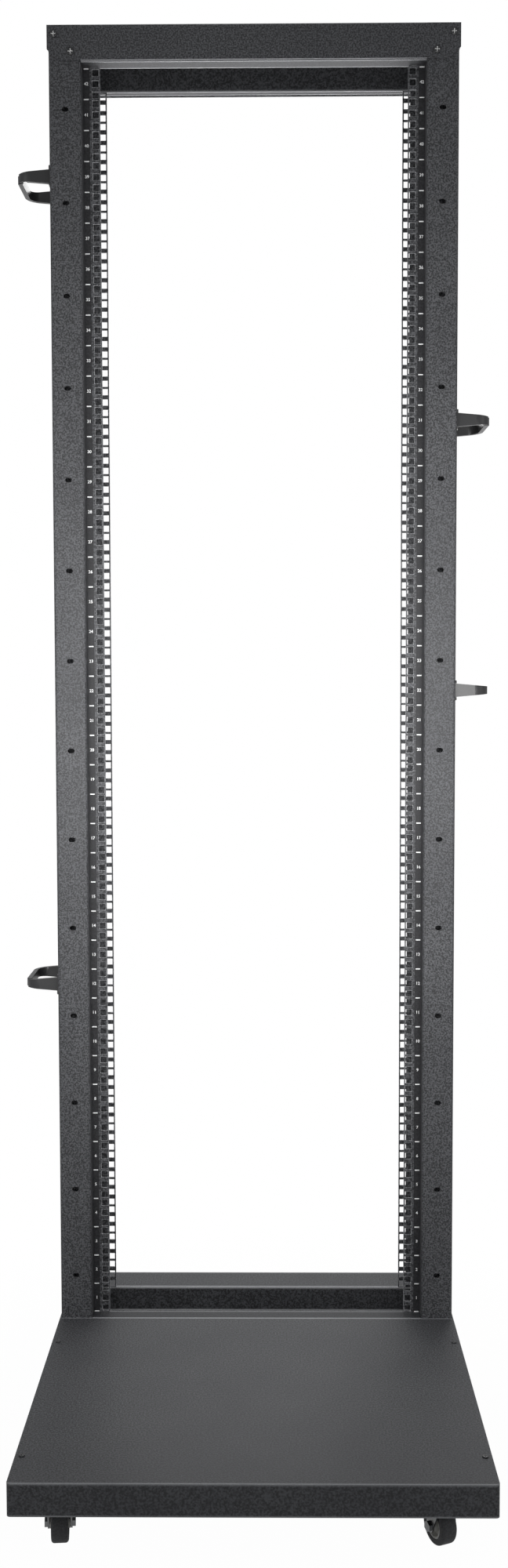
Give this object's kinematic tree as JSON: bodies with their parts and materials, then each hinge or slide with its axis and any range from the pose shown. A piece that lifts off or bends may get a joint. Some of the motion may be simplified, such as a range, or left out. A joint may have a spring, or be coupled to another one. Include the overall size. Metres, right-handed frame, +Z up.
{
  "type": "two post open frame rack",
  "caption": "Open frame equipment rack: a pair of channel posts with square-hole rails, header, side cable rings and a low caster base.",
  "frame": {"origin": "on the floor under the middle of the base", "axes": "+Z up, front towards -Y, +X to the right seen from the front"},
  "size_m": [0.7, 0.7, 2.0329],
  "materials": {
    "powder_coat": "fine textured powder coat",
    "ring_plastic": "satin moulded",
    "zinc_plate": "zinc plated",
    "hub_plastic": "satin moulded",
    "wheel_tread": "matte"
  },
  "bodies": {
    "frame": {"left_post": "powder_coat", "right_post": "powder_coat", "left_front_rail": "powder_coat", "right_front_rail": "powder_coat", "left_rear_rail": "powder_coat", "right_rear_rail": "powder_coat", "header_cover": "powder_coat", "top_channel": "powder_coat", "bottom_channel": "powder_coat", "base_tray": "powder_coat", "front_cross_member": "powder_coat", "rear_cross_member": "powder_coat", "left_side_member": "powder_coat", "right_side_member": "powder_coat", "ring_upper_left": "ring_plastic", "ring_lower_left": "ring_plastic", "ring_upper_right": "ring_plastic", "ring_lower_right": "ring_plastic", "plate_front_left": "zinc_plate", "plate_front_right": "zinc_plate", "plate_rear_left": "zinc_plate", "plate_rear_right": "zinc_plate"},
    "swivel_front_left": {"fork_front_left": "zinc_plate"},
    "wheel_front_left": {"hub_front_left": "hub_plastic", "tyre_front_left": "wheel_tread"},
    "swivel_front_right": {"fork_front_right": "zinc_plate"},
    "wheel_front_right": {"hub_front_right": "hub_plastic", "tyre_front_right": "wheel_tread"},
    "swivel_rear_left": {"fork_rear_left": "zinc_plate"},
    "wheel_rear_left": {"hub_rear_left": "hub_plastic", "tyre_rear_left": "wheel_tread"},
    "swivel_rear_right": {"fork_rear_right": "zinc_plate"},
    "wheel_rear_right": {"hub_rear_right": "hub_plastic", "tyre_rear_right": "wheel_tread"}
  },
  "joints": [
    {"name": "front_left_swivel", "type": "hinge", "parent": "frame", "child": "swivel_front_left", "pos_m": [-0.243, -0.29, 0.06], "axis": [0, 0, 1], "continuous": true},
    {"name": "front_left_roll", "type": "hinge", "parent": "swivel_front_left", "child": "wheel_front_left", "pos_m": [-0.24457, -0.27207, 0.025], "axis": [0.9962, 0.0872, 0], "continuous": true},
    {"name": "front_right_swivel", "type": "hinge", "parent": "frame", "child": "swivel_front_right", "pos_m": [0.243, -0.29, 0.06], "axis": [0, 0, 1], "continuous": true},
    {"name": "front_right_roll", "type": "hinge", "parent": "swivel_front_right", "child": "wheel_front_right", "pos_m": [0.23539, -0.27369, 0.025], "axis": [0.9063, 0.4226, 0], "continuous": true},
    {"name": "rear_left_swivel", "type": "hinge", "parent": "frame", "child": "swivel_rear_left", "pos_m": [-0.243, 0.29, 0.06], "axis": [0, 0, 1], "continuous": true},
    {"name": "rear_left_roll", "type": "hinge", "parent": "swivel_rear_left", "child": "wheel_rear_left", "pos_m": [-0.243, 0.308, 0.025], "axis": [1, 0, 0], "continuous": true},
    {"name": "rear_right_swivel", "type": "hinge", "parent": "frame", "child": "swivel_rear_right", "pos_m": [0.243, 0.29, 0.06], "axis": [0, 0, 1], "continuous": true},
    {"name": "rear_right_roll", "type": "hinge", "parent": "swivel_rear_right", "child": "wheel_rear_right", "pos_m": [0.243, 0.308, 0.025], "axis": [1, 0, 0], "continuous": true}
  ]
}
